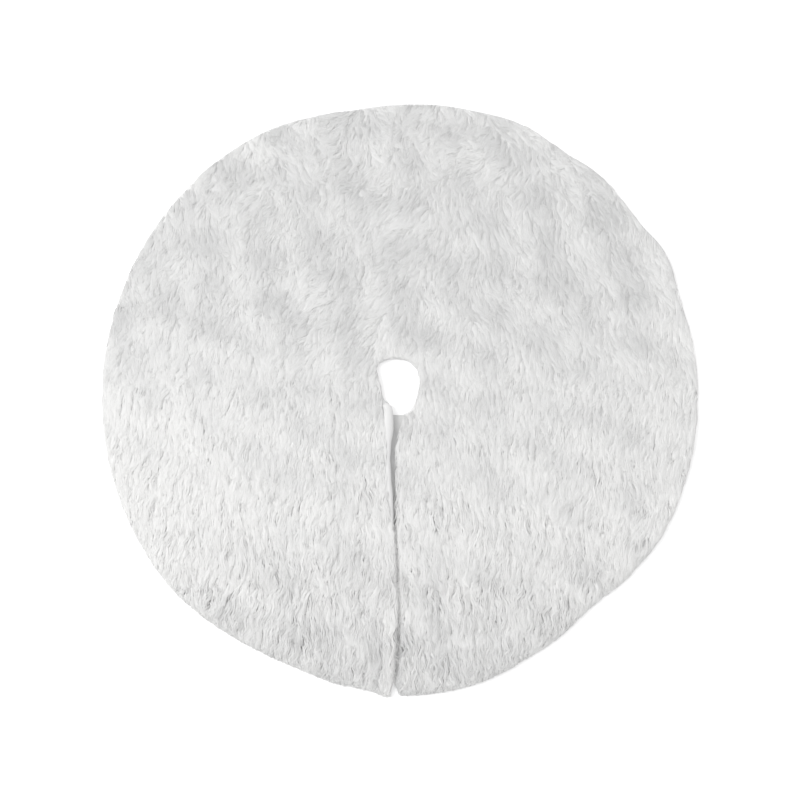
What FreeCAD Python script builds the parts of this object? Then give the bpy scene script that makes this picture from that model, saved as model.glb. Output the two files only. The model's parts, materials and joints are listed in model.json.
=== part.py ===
import FreeCAD, Part
import math
import os
import Sketcher

# A round plush tree skirt laid flat: long pile on a backing, a lining under it, a trunk hole in the
# middle and one slit from the hole to the hem. The fabric left of the slit laps over a placket strip
# sewn to the right edge, is closed by three pairs of hook-and-loop tape, and folds back to open.
#
# Frame: the origin is on the trunk hole's axis at floor level, +Z is up, and the slit runs along -Y.
# Millimetres. The fold line leaves the hole at its -X side and runs to the hem, tilted away from -Y.

SHEET = "dims"

DIMENSIONS = {
    "skirt_radius": 610.0,  # 48 inch skirt
    "trunk_radius": 51.0,  # 4 inch trunk hole
    "lining_thickness": 1.0,
    "face_top": 17.0,  # height of the pile above the floor
    "lining_inset": 4.0,  # the lining stops short of the pile at the hem
    "rim_round": 9.0,  # the pile rounds over at the hem
    "neck_round": 3.0,  # and a little at the trunk hole
    "fold_tilt": 22.0,  # degrees between the fold line and the slit
    "fold_gap": 0.6,  # clearance between the two sides of the fold
    "slit_right": 2.0,  # right edge of the slit
    "slit_left_neck": -13.0,  # left edge of the slit at the hole
    "slit_left_hem": -4.0,  # and at the hem
    "facing_width": 9.0,  # rolled band along the overlapping edge
    "facing_top": 14.0,
    "facing_round": 4.0,
    "placket_left": -40.0,
    "placket_right": 14.0,  # the placket is sewn under the right edge this far in
    "placket_end": -563.0,  # it stops short of the hem
    "placket_clear": 2.0,  # and short of the hole
    "ramp_foot": -52.0,  # the flap's lining rises between these two over the placket
    "ramp_head": -44.0,
    "flap_lift": 3.7,
    "tape_centre": -27.0,
    "tape_width": 18.0,
    "tape_length": 60.0,
    "tape_thickness": 1.2,
    "tape_corner": 2.0,
    "tape_first": -110.0,  # middle of the tape nearest the hole
    "tape_pitch": 195.0,
    "stitch_inset": 2.0,
    "stitch_width": 0.6,
    "stitch_depth": 0.4,
    "thread": 0.7,  # thickness of the seam threads
    "hem_seam": 596.0,  # radius of the seam along the hem
    "neck_seam": 58.0,  # radius of the seam round the hole
    "placket_seam": 8.0,
    "slit_seam": 18.0,
    "edge_seam": 13.0,  # distance of the flap's edge seam from its edge
    "seam_margin": 6.0,  # seams stop this far from a fold, a slit or a hem
    "reach": 760.0,  # beyond the skirt in every direction, for cutting shapes
}

TAPES = ["upper", "middle", "lower"]

doc = FreeCAD.newDocument("tree_skirt")
sheet = doc.addObject("Spreadsheet::Sheet", SHEET)
for row, (word, value) in enumerate(DIMENSIONS.items(), start=1):
    sheet.set(f"A{row}", word)
    sheet.set(f"B{row}", str(value))
    sheet.setAlias(f"B{row}", word)
doc.recompute()

sub_parts = []
cuts = []


def dim(text):
    """An expression on the sheet, with each alias written as a plain word in braces."""
    return text.replace("{", SHEET + ".").replace("}", "")


def number(expression):
    """The value of an expression, used as a first position for what the expression then drives."""
    return float(sheet.evalExpression(expression))


# ---- sketches ----


def new_body(label):
    body = doc.addObject("PartDesign::Body", label)
    body.Label = label
    body.AllowCompound = True
    sub_parts.append(body)
    return body


def new_sketch(body, name, role, height=None):
    """A sketch on one of the body's own origin planes, raised by an expression if one is given."""
    sketch = body.newObject("Sketcher::SketchObject", name)
    plane = next(f for f in body.Origin.OriginFeatures if f.Role == role)
    sketch.AttachmentSupport = [(plane, "")]
    sketch.MapMode = "FlatFace"
    if height:
        sketch.setExpression("AttachmentOffset.Base.z", height)
    return sketch


def bind(sketch, constraint, expression):
    index = sketch.addConstraint(constraint)
    sketch.setExpression(f"Constraints[{index}]", expression)


def add_circle(sketch, radius):
    value = number(radius)
    circle = Part.Circle(FreeCAD.Vector(0, 0, 0), FreeCAD.Vector(0, 0, 1), value)
    index = sketch.addGeometry(circle, False)
    sketch.addConstraint(Sketcher.Constraint("Coincident", index, 3, -1, 1))
    bind(sketch, Sketcher.Constraint("Radius", index, value), radius)


def add_polygon(sketch, corners):
    """A closed outline. A corner is a pair of expressions; a second one of None puts it on the first axis."""
    points = [FreeCAD.Vector(number(x), number(y) if y else 0, 0) for x, y in corners]
    count = len(points)
    first = sketch.GeometryCount
    for i in range(count):
        sketch.addGeometry(Part.LineSegment(points[i], points[(i + 1) % count]), False)
    for i in range(count):
        following = first + (i + 1) % count
        sketch.addConstraint(Sketcher.Constraint("Coincident", first + i, 2, following, 1))
    for i, (x, y) in enumerate(corners):
        line = first + i
        bind(sketch, Sketcher.Constraint("DistanceX", -1, 1, line, 1, points[i].x), x)
        if y:
            bind(sketch, Sketcher.Constraint("DistanceY", -1, 1, line, 1, points[i].y), y)
        else:
            sketch.addConstraint(Sketcher.Constraint("PointOnObject", line, 1, -1))


def rectangle(left, right, low, high):
    return [(left, low), (right, low), (right, high), (left, high)]


# ---- features ----


def pad(body, sketch, length):
    feature = body.newObject("PartDesign::Pad", sketch.Name + "_pad")
    feature.Profile = sketch
    feature.setExpression("Length", length)
    sketch.Visibility = False
    return feature


def pocket(body, sketch):
    """Cuts the sketch up through the whole body; the cut is compared with what was there at the end."""
    feature = body.newObject("PartDesign::Pocket", sketch.Name + "_cut")
    feature.Profile = sketch
    feature.Type = "ThroughAll"
    feature.Reversed = True
    sketch.Visibility = False
    cuts.append(feature)


def cut_circle(body, name, radius):
    sketch = new_sketch(body, name, "XY_Plane")
    add_circle(sketch, radius)
    pocket(body, sketch)


def cut_outside_circle(body, name, radius):
    sketch = new_sketch(body, name, "XY_Plane")
    add_circle(sketch, radius)
    add_circle(sketch, dim("2 * {reach}"))
    pocket(body, sketch)


def cut_polygon(body, name, corners):
    sketch = new_sketch(body, name, "XY_Plane")
    add_polygon(sketch, corners)
    pocket(body, sketch)


def cut_outside_polygon(body, name, corners):
    sketch = new_sketch(body, name, "XY_Plane")
    add_polygon(sketch, corners)
    add_circle(sketch, dim("2 * {reach}"))
    pocket(body, sketch)


def round_edges(body, name, radius, is_wanted):
    """Rounds the edges of the body's tip that a test picks out."""
    doc.recompute()
    tip = body.Tip
    picked = [f"Edge{i}" for i, e in enumerate(tip.Shape.Edges, start=1) if is_wanted(e)]
    if not picked:
        raise RuntimeError(f"{body.Label}: no edge to round for {name}")
    feature = body.newObject("PartDesign::Fillet", name)
    feature.Base = (tip, picked)
    feature.setExpression("Radius", radius)


def groove_corner(body, name, edge, radius, side):
    """Turns the top corner at a radius into a quarter round. side is 1 for an outer edge, -1 for a hole."""
    sketch = new_sketch(body, name + "_section", "XZ_Plane")
    inner = dim(f"{edge} - {side} * {radius}")
    past = dim(f"{edge} + {side}")
    top = dim("{face_top}")
    over = dim("{face_top} + 1")
    low = dim("{face_top} - " + radius)
    corners = [(inner, top), (inner, over), (past, over), (past, low), (dim(edge), low)]
    points = [FreeCAD.Vector(number(x), number(y), 0) for x, y in corners]
    for start, end in zip(points, points[1:]):
        sketch.addGeometry(Part.LineSegment(start, end), False)
    centre = FreeCAD.Vector(points[0].x, points[4].y, 0)
    circle = Part.Circle(centre, FreeCAD.Vector(0, 0, 1), number(dim(radius)))
    quarter = math.pi / 2
    first = 0 if side > 0 else quarter
    arc = sketch.addGeometry(Part.ArcOfCircle(circle, first, first + quarter), False)
    for line in range(3):
        sketch.addConstraint(Sketcher.Constraint("Coincident", line, 2, line + 1, 1))
    arc_low, arc_high = (1, 2) if side > 0 else (2, 1)
    sketch.addConstraint(Sketcher.Constraint("Coincident", 3, 2, arc, arc_low))
    sketch.addConstraint(Sketcher.Constraint("Coincident", 0, 1, arc, arc_high))
    bind(sketch, Sketcher.Constraint("Radius", arc, number(dim(radius))), dim(radius))
    for i, (x, y) in enumerate(corners):
        line, end = (i, 1) if i < 4 else (3, 2)
        bind(sketch, Sketcher.Constraint("DistanceX", -1, 1, line, end, points[i].x), x)
        bind(sketch, Sketcher.Constraint("DistanceY", -1, 1, line, end, points[i].y), y)
    groove = body.newObject("PartDesign::Groove", name)
    groove.Profile = sketch
    groove.ReferenceAxis = (sketch, ["V_Axis"])
    groove.Angle = 360
    sketch.Visibility = False
    cuts.append(groove)


# ---- outlines seen from above ----


def wedge(fold_offset, left_line, right_line):
    """Corners of the wedge between the fold line and the slit, from the hole's centre line outwards.
    fold_offset moves the fold side towards the slit; the lines are the slit side's x at the centre
    line and beyond the hem."""
    fold_near = dim("-{trunk_radius} + (") + fold_offset + dim(") / cos({fold_tilt} * 1 deg)")
    fold_far = fold_near + dim(" - {reach} * tan({fold_tilt} * 1 deg)")
    return [
        (fold_near, None),
        (fold_far, dim("-{reach}")),
        (right_line, dim("-{reach}")),
        (left_line, None),
    ]


def flap_edge_x(y, offset):
    """x of the flap's slit edge at a y, moved by an offset."""
    rise = "({slit_left_hem} - {slit_left_neck}) / ({skirt_radius} - {trunk_radius})"
    text = "{slit_left_neck} + (" + y + " - {trunk_radius}) * " + rise + " + (" + offset + ")"
    return dim(text)


def flap_wedge(fold_margin, edge_offset):
    near = flap_edge_x("0", edge_offset)
    far = flap_edge_x("{reach}", edge_offset)
    return wedge(dim("{fold_gap} / 2 + " + fold_margin), near, far)


def flap_strip(outer_offset, inner_offset):
    """Corners of a strip along the flap's slit edge, between two offsets from that edge."""
    return [
        (flap_edge_x("0", outer_offset), None),
        (flap_edge_x("0", inner_offset), None),
        (flap_edge_x("{reach}", inner_offset), dim("-{reach}")),
        (flap_edge_x("{reach}", outer_offset), dim("-{reach}")),
    ]


def open_wedge(margin):
    """The wedge that the main panel leaves free, grown by a margin."""
    slit = dim("{slit_right} + " + margin)
    return wedge(dim("-{fold_gap} / 2 - " + margin), slit, slit)


# ---- layers ----


def main_layer(label, bottom, top, inner, outer, margin):
    """A flat ring round the trunk hole, open where the flap lies."""
    body = new_body(label)
    ring = new_sketch(body, label + "_ring", "XY_Plane", bottom)
    add_circle(ring, outer)
    add_circle(ring, inner)
    pad(body, ring, f"({top}) - ({bottom})")
    cut_polygon(body, label + "_opening", open_wedge(margin))
    return body


def flap_profile(low, high, top=None):
    """Section of a flap layer across the slit: it rises over the placket. low and high are heights above
    the floor left of the rise; with a top given, the upper side is flat at that height."""
    lift = dim("{flap_lift}")
    left = dim("-{reach}")
    right = dim("{reach} / 2")
    foot = dim("{ramp_foot}")
    head = dim("{ramp_head}")
    under = [(left, low), (foot, low), (head, f"{low} + {lift}"), (right, f"{low} + {lift}")]
    if low == "0":
        under = [(left, None), (foot, None), (head, lift), (right, lift)]
    if top:
        return under + [(right, top), (left, top)]
    over = [(right, f"{high} + {lift}"), (head, f"{high} + {lift}"), (foot, high), (left, high)]
    return under + over


def flap_layer(label, profile, inner, outer, outline):
    """A layer of the flap: its section drawn along the slit, trimmed to two radii and an outline."""
    body = new_body(label)
    section = new_sketch(body, label + "_section", "XZ_Plane")
    add_polygon(section, profile)
    pad(body, section, dim("{reach}"))
    cut_outside_polygon(body, label + "_outline", outline)
    cut_circle(body, label + "_inner", inner)
    cut_outside_circle(body, label + "_outer", outer)
    return body


SEAM_LOW = dim("{lining_thickness} - {thread} / 2")
SEAM_HIGH = dim("{lining_thickness} + {thread} / 2")


def seam_radii(middle):
    return dim(middle + " - {thread} / 2"), dim(middle + " + {thread} / 2")


def make_fur_panel():
    body = main_layer(
        "fur_panel",
        dim("{lining_thickness}"),
        dim("{face_top}"),
        dim("{trunk_radius}"),
        dim("{skirt_radius}"),
        "0",
    )
    round_face(body)


def round_face(body):
    """Rounds the pile over at the hem and at the trunk hole."""
    groove_corner(body, body.Label + "_hem_round", "{skirt_radius}", "{rim_round}", 1)
    groove_corner(body, body.Label + "_neck_round", "{trunk_radius}", "{neck_round}", -1)


def make_lining_panel():
    body = main_layer(
        "lining_panel",
        "0",
        dim("{lining_thickness}"),
        dim("{trunk_radius}"),
        dim("{skirt_radius} - {lining_inset}"),
        "0",
    )
    recess = new_sketch(body, "lining_panel_recess", "XY_Plane")
    left = dim("{slit_right} - 1")
    right = dim("{placket_right}")
    low = dim("{placket_end}")
    add_polygon(recess, [(left, low), (right, low), (right, None), (left, None)])
    pocket(body, recess)


def make_ring_seam(label, radius):
    inner, outer = seam_radii(radius)
    main_layer(label, SEAM_LOW, SEAM_HIGH, inner, outer, "{seam_margin}")


def make_straight_seam(label, place, end):
    """A seam thread parallel to the slit, from near the hole to a distance from the hole's centre."""
    box = doc.addObject("Part::Box", label)
    box.Label = label
    box.setExpression("Length", dim("{thread}"))
    box.setExpression("Width", dim(end + " - {neck_seam} - {seam_margin}"))
    box.setExpression("Height", dim("{thread}"))
    box.setExpression("Placement.Base.x", dim(place + " - {thread} / 2"))
    box.setExpression("Placement.Base.y", dim("-(" + end + ")"))
    box.setExpression("Placement.Base.z", SEAM_LOW)
    sub_parts.append(box)


def make_placket_strip():
    body = new_body("placket_strip")
    outline = new_sketch(body, "placket_outline", "XY_Plane")
    left = dim("{placket_left}")
    right = dim("{placket_right}")
    low = dim("{placket_end}")
    add_polygon(outline, [(left, low), (right, low), (right, None), (left, None)])
    pad(body, outline, dim("{lining_thickness}"))
    cut_circle(body, "placket_neck", dim("{trunk_radius} + {placket_clear}"))


def make_flap_panels():
    trunk = dim("{trunk_radius}")
    hem = dim("{skirt_radius}")
    face = flap_profile(dim("{lining_thickness}"), None, dim("{face_top}"))
    fur = flap_layer("fur_flap", face, trunk, hem, flap_wedge("0", "-{facing_width}"))
    round_face(fur)
    lining = flap_profile("0", dim("{lining_thickness}"))
    lining_hem = dim("{skirt_radius} - {lining_inset}")
    flap_layer("lining_flap", lining, trunk, lining_hem, flap_wedge("0", "0"))


def make_flap_edge_facing():
    """The rolled band on the flap's edge, from the lining up, rounded along its top."""
    bottom = dim("{lining_thickness} + {flap_lift}")
    top = dim("{facing_top}")
    section = rectangle(dim("-{reach}"), dim("{reach} / 2"), bottom, top)
    outline = flap_strip("-{facing_width}", "0")
    hem = dim("{skirt_radius} - {lining_inset}")
    body = flap_layer("flap_edge_facing", section, dim("{trunk_radius}"), hem, outline)
    height = DIMENSIONS["facing_top"]

    def along_top(edge):
        level = all(abs(v.Point.z - height) < 0.01 for v in edge.Vertexes)
        return level and edge.Length > DIMENSIONS["skirt_radius"] / 2

    round_edges(body, "facing_round_top", dim("{facing_round}"), along_top)


def make_flap_seams():
    seam = flap_profile(SEAM_LOW, SEAM_HIGH)
    outline = flap_wedge("{seam_margin}", "-{edge_seam}")
    for label, radius in [("flap_hem_seam_thread", "{hem_seam}"), ("flap_neck_seam_thread", "{neck_seam}")]:
        inner, outer = seam_radii(radius)
        flap_layer(label, seam, inner, outer, outline)
    strip = flap_strip("-{edge_seam} - {thread} / 2", "-{edge_seam} + {thread} / 2")
    inner = dim("{neck_seam} + {seam_margin}")
    outer = dim("{hem_seam} - {seam_margin}")
    flap_layer("flap_edge_seam_thread", seam, inner, outer, strip)


def tape_outline(inset, middle):
    """Corners of a tape, or of its stitch line when inset, about a y given by an expression."""
    half_width = "({tape_width} / 2 - " + inset + ")"
    half_length = "({tape_length} / 2 - " + inset + ")"
    return rectangle(
        dim("{tape_centre} - " + half_width),
        dim("{tape_centre} + " + half_width),
        dim(middle + " - " + half_length),
        dim(middle + " + " + half_length),
    )


def make_tapes(kind, bottom):
    """Three tapes in a row along the slit, rounded at their corners."""
    for step, place in enumerate(TAPES):
        label = f"{kind}_tape_{place}"
        body = new_body(label)
        outline = new_sketch(body, label + "_outline", "XY_Plane", bottom)
        add_polygon(outline, tape_outline("0", "{tape_first} - " + str(step) + " * {tape_pitch}"))
        pad(body, outline, dim("{tape_thickness}"))

        def upright(edge):
            return abs(edge.tangentAt(edge.FirstParameter).z) > 0.99

        round_edges(body, label + "_corners", dim("{tape_corner}"), upright)


def make_tape_stitches(kind, bottom):
    """A rectangle of stitching sunk into each tape, three alike in one node."""
    label = f"{kind}_tape_stitches"
    body = new_body(label)
    line = new_sketch(body, label + "_line", "XY_Plane", bottom)
    add_polygon(line, tape_outline("{stitch_inset}", "{tape_first}"))
    add_polygon(line, tape_outline("({stitch_inset} + {stitch_width})", "{tape_first}"))
    stitch = pad(body, line, dim("{stitch_depth}"))
    row = body.newObject("PartDesign::LinearPattern", label + "_row")
    row.Originals = [stitch]
    axis = next(f for f in body.Origin.OriginFeatures if f.Role == "Y_Axis")
    row.Direction = (axis, [""])
    row.Reversed = True
    row.Occurrences = len(TAPES)
    row.setExpression("Length", dim(f"{len(TAPES) - 1} * " + "{tape_pitch}"))
    body.Tip = row


# ---- the skirt's main body ----

make_fur_panel()
make_lining_panel()
make_ring_seam("hem_seam_thread", "{hem_seam}")
make_ring_seam("neck_seam_thread", "{neck_seam}")
make_straight_seam("slit_seam_thread", "{slit_seam}", "{hem_seam} - {seam_margin}")
make_placket_strip()
make_straight_seam("placket_seam_thread", "{placket_seam}", "-{placket_end} - {seam_margin}")
make_tapes("loop", dim("{lining_thickness}"))
make_tape_stitches("loop", dim("{lining_thickness} + {tape_thickness} - {stitch_depth}"))

# ---- the flap that laps over the placket ----

make_flap_panels()
make_flap_edge_facing()
make_flap_seams()
make_tapes("hook", dim("{flap_lift} - {tape_thickness}"))
make_tape_stitches("hook", dim("{flap_lift} - {tape_thickness}"))

# ---- checks and files ----

doc.recompute()
for item in doc.Objects:
    if "Invalid" in item.State or "Error" in item.State:
        raise RuntimeError(f"{item.Name} failed: {item.State}")
for cut in cuts:
    if cut.Shape.Volume > cut.BaseFeature.Shape.Volume - 1e-3:
        raise RuntimeError(f"{cut.Name} cuts nothing")
for item in sub_parts:
    if item.Shape.isNull() or not item.Shape.isValid():
        raise RuntimeError(f"{item.Label} has no valid shape")

os.makedirs("parts", exist_ok=True)
for item in sub_parts:
    item.Shape.exportStep(f"parts/{item.Label}.step")
    size = item.Shape.BoundBox
    print(
        f"{item.Label}: {len(item.Shape.Solids)} solid, {item.Shape.Volume:.0f} mm3, "
        f"x {size.XMin:.2f} {size.XMax:.2f}, y {size.YMin:.2f} {size.YMax:.2f}, "
        f"z {size.ZMin:.2f} {size.ZMax:.2f}"
    )
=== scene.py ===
import json
import math

import bpy
import numpy as np
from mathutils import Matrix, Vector


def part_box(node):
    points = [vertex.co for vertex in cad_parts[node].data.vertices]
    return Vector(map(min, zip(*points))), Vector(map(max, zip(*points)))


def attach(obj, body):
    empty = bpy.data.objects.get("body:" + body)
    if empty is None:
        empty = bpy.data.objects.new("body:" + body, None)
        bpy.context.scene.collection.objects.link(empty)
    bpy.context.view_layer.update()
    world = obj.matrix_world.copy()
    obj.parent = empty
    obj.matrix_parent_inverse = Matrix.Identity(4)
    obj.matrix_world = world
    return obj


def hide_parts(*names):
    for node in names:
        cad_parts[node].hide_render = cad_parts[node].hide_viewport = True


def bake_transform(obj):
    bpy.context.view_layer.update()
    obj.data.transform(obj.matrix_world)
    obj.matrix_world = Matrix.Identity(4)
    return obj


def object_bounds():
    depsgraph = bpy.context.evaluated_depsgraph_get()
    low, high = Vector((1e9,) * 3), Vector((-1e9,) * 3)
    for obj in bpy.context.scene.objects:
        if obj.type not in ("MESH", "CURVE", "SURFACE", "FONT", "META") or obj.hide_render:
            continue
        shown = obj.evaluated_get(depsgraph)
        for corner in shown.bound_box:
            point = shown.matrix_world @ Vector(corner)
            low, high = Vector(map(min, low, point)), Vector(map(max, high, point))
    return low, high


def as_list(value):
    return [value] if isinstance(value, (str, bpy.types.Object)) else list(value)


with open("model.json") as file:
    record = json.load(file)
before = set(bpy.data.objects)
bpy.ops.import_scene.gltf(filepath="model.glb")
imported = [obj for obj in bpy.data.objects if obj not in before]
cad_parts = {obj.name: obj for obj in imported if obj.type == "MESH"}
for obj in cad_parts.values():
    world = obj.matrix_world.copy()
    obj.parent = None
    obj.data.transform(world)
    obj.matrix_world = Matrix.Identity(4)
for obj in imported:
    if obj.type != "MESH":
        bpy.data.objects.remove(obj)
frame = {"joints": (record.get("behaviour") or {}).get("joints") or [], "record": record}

# A white long-pile tree skirt, laid flat. Metres throughout, in the frame's own axes: +Z up, the trunk
# hole on the Z axis, the slit along -Y. The cloth is a lining under a backing, the pile grows from the
# backing as separate closed strands gathered into locks, and the cloth left of the slit, which folds
# back, is built as pieces of its own and left flat.

CAD_LOW, CAD_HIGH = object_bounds()
MM = 0.001
SKIRT_RADIUS = CAD_HIGH.x
MOUNTS = {mount["name"]: mount for mount in frame["record"]["mounts"]}
TRUNK_RADIUS = MOUNTS["trunk_hole"]["dims"]["r_mm"] * MM
PLACKET_LOW, PLACKET_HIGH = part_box("placket_strip")

# ---- noise and profiles ----


def ripple(seed, wavelength, waves=11):
    """A smooth random field over the plane, about -1.5 to 1.5, as a sum of plane waves."""
    rng = np.random.default_rng(seed)
    angle = rng.uniform(0, 2 * math.pi, waves)
    k = 2 * math.pi / (wavelength * rng.uniform(0.7, 1.5, waves))
    phase = rng.uniform(0, 2 * math.pi, waves)
    kx = k * np.cos(angle)
    ky = k * np.sin(angle)

    def at(x, y):
        total = np.zeros(np.shape(x))
        for a, b, c in zip(kx, ky, phase):
            total += np.sin(a * x + b * y + c)
        return total / math.sqrt(waves / 2)

    return at


def smooth(edge_a, edge_b, x):
    """0 at the first edge and before it, 1 at the second and after it, with an S-curve between."""
    t = np.clip((x - edge_a) / (edge_b - edge_a), 0, 1)
    return t * t * (3 - 2 * t)


def hump(x, middle, width):
    """A bell of height 1."""
    return np.exp(-(((x - middle) / width) ** 2) / 2)


def round_off(distance, width, least=0):
    """A quarter round: it rises from 0 at the edge to 1 at a distance of the width."""
    return np.sqrt(np.clip(1 - (1 - np.clip(distance / width, 0, 1)) ** 2, least, 1))


# ---- the laid outline ----

HEM_BASE = 0.608
# Where the hem stands out or is drawn in: direction in degrees, amount and spread in degrees.
HEM_FEATURES = [
    (8, 0.004, 14),
    (27, 0.014, 4),
    (45, 0.010, 5),
    (66, 0.013, 6),
    (80, 0.004, 5),
    (101, -0.006, 7),
    (118, 0.008, 7),
    (130, 0.004, 5),
    (143, 0.003, 8),
    (200, -0.006, 28),
    (240, -0.013, 9),
    (253, -0.011, 7),
    (263, -0.004, 2.5),
    (268, 0.004, 1.3),
    (297, -0.014, 7),
    (311, -0.024, 6),
    (323, -0.007, 5),
]
# The hole is drawn out towards its corners: direction in degrees and distance from the middle.
HOLE_SHAPE = [
    (17, 0.0458),
    (48, 0.0545),
    (69, 0.0564),
    (86, 0.0560),
    (106, 0.0586),
    (124, 0.0606),
    (137, 0.0622),
    (171, 0.0358),
    (224, 0.0397),
    (242, 0.0368),
    (262, 0.0560),
    (286, 0.0578),
    (303, 0.0524),
    (334, 0.0434),
    (356, 0.0430),
]


def turned(angle, middle):
    """Angle from a direction, in degrees from -180 to 180."""
    return (angle - middle + 180) % 360 - 180


def hem_radius(angle):
    degrees = np.degrees(angle)
    radius = np.full(np.shape(angle), HEM_BASE)
    for middle, amount, spread in HEM_FEATURES:
        radius = radius + amount * np.exp(-((turned(degrees, middle) / spread) ** 2) / 2)
    return radius


def hole_polygon(degrees):
    """Distance to a line that runs straight from each point of the hole's shape to the next."""
    degrees = degrees % 360
    at = [a for a, r in HOLE_SHAPE]
    far = [r for a, r in HOLE_SHAPE]
    wrapped = np.array([at[-1] - 360] + at + [at[0] + 360])
    radii = np.array([far[-1]] + far + [far[0]])
    index = np.clip(np.searchsorted(wrapped, degrees, side="right") - 1, 0, len(wrapped) - 2)
    past = np.radians(degrees - wrapped[index])
    left = np.radians(wrapped[index + 1] - degrees)
    near, next_one = radii[index], radii[index + 1]
    return near * next_one * np.sin(past + left) / (near * np.sin(past) + next_one * np.sin(left))


HOLE_CORNER = 137  # the one sharp corner, in degrees; away from it the outline is rounded
HOLE_ROUNDING = 10  # degrees to each side that the rounded outline is averaged over
HOLE_DEGREES = np.linspace(0, 360, 721)
HOLE_SOFTNESS = HOLE_ROUNDING * smooth(8, 34, np.abs(turned(HOLE_DEGREES, HOLE_CORNER)))
HOLE_RADII = np.mean([hole_polygon(HOLE_DEGREES + k * HOLE_SOFTNESS) for k in np.linspace(-1, 1, 9)], axis=0)


def hole_radius(angle):
    return np.interp(np.degrees(angle) % 360, HOLE_DEGREES, HOLE_RADII)


# The slit's two edges: y going out to the hem, and x.
LEFT_EDGE = [
    (-0.034, -0.0140),
    (-0.050, -0.0095),
    (-0.090, -0.0090),
    (-0.115, -0.0135),
    (-0.15, -0.0148),
    (-0.19, -0.0138),
    (-0.22, -0.0108),
    (-0.26, -0.0088),
    (-0.30, -0.0080),
    (-0.36, -0.0038),
    (-0.44, -0.0002),
    (-0.50, -0.0026),
    (-0.56, -0.0066),
    (-0.59, -0.0125),
    (-0.62, -0.0168),
]
RIGHT_EDGE = [
    (-0.045, 0.0120),
    (-0.065, 0.0085),
    (-0.085, 0.0020),
    (-0.13, -0.0035),
    (-0.19, -0.0042),
    (-0.22, -0.0024),
    (-0.26, -0.0036),
    (-0.30, -0.0054),
    (-0.36, -0.0026),
    (-0.44, 0.0008),
    (-0.50, -0.0018),
    (-0.56, -0.0048),
    (-0.585, -0.0070),
    (-0.60, 0.0015),
    (-0.62, 0.0050),
]
SLIT_TOP = -0.030  # y from which the slit parts the cloth
BAND_TOP = -0.034  # y where the edging and the pile's own edges begin
BAND_HALF_WIDTH = 0.0062
BAND_FLARE = 0.0043  # how much broader the band's half is at the hole
BAND_BARE = 1.35  # near the hole the pile stops this many half widths short of the flap's edge
SPILL_AT_HOLE = 0.0005  # how far strands may lie out over an edge
SPILL_AT_EDGE = 0.0012
SPILL_AT_SLIT = 0.0008  # and this much farther across the lower slit


def edge_x(line, y):
    at = np.array([p[0] for p in line])[::-1]
    x = np.array([p[1] for p in line])[::-1]
    return np.interp(y, at, x)


def band_half_width(y):
    """The rolled edging on the flap's slit edge is broadest at the hole."""
    return BAND_HALF_WIDTH + BAND_FLARE * smooth(-0.125, -0.085, y)


def pile_left_edge(y):
    """The pile left of the slit stops short of the edging, and hangs over it farther down."""
    return edge_x(LEFT_EDGE, y) - BAND_BARE * band_half_width(y) * smooth(-0.29, -0.24, y)


def inside_distance(x, y):
    """How far a point is inside the cloth, seen from above; negative outside it."""
    angle = np.arctan2(y, x)
    r = np.hypot(x, y)
    inner = r - hole_radius(angle)
    outer = hem_radius(angle) - r
    below = y < SLIT_TOP
    left = np.where(below, edge_x(LEFT_EDGE, y) - x, 1.0)
    right = np.where(below, x - edge_x(RIGHT_EDGE, y), 1.0)
    slit = np.maximum(left, right)
    return np.minimum(np.minimum(inner, outer), slit)


def pile_inside(x, y):
    """How far a point is inside the area the pile grows on; negative outside it."""
    short = np.where((y < BAND_TOP) & (x < 0.05), pile_left_edge(y) - x, 1.0)
    right = np.where(y < BAND_TOP, x - edge_x(RIGHT_EDGE, y), 1.0)
    return np.minimum(inside_distance(x, y), np.maximum(short, right))


def spill(x, y):
    """How far strands may lie out over an edge: most across the lower slit, least into the hole."""
    lower_slit = smooth(-0.57, -0.54, y) * smooth(-0.24, -0.28, y) * (np.abs(x) < 0.03)
    near_hole = np.hypot(x, y) < 0.1
    return np.where(near_hole, SPILL_AT_HOLE, SPILL_AT_EDGE) + SPILL_AT_SLIT * lower_slit


# ---- how the cloth lies ----

LINING_THICK = 0.0008
BACKING_GAP = 0.0002  # between lining and backing
BACKING_THICK = 0.0014
PILE_BASE = 0.0075  # the dense foot of the pile, over the backing
PILE_SINK = 0.0012  # foot and roots start this far below the backing's top
FLAP_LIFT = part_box("hook_tape_upper")[1].z
RAMP_FOOT = -0.052  # the flap's lining rises over the placket between these two
RAMP_HEAD = -0.044
LIFT_REACH = 0.004  # how far past the flap's edge the lift still holds
HEM_ROUND = 0.016  # widths over which the pile rounds off at the hem, the hole and the slit
HOLE_ROUND = 0.006
SLIT_ROUND = 0.009
BAND_ROUND = 0.003
EDGE_MARGIN = 0.003  # at the slit the rounding starts this far outside the edge

# Soft ridges left by folding and handling: from, to, height.
RIDGES = [
    ((-0.230, 0.560), (-0.080, 0.115), 0.0030),
    ((-0.415, 0.395), (-0.233, 0.072), 0.0022),
    ((-0.010, 0.600), (-0.010, 0.480), 0.0022),
    ((0.080, -0.140), (0.560, -0.135), 0.0018),
    ((-0.560, 0.030), (-0.080, 0.030), 0.0022),
    ((0.080, 0.030), (0.580, 0.030), 0.0022),
    ((-0.480, -0.360), (-0.030, -0.360), 0.0024),
    ((0.030, -0.350), (0.480, -0.350), 0.0016),
    ((-0.430, 0.445), (0.430, 0.445), 0.0018),
]
RIDGE_WIDTH = 0.016

lie_noise = ripple(11, 0.21)


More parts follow.
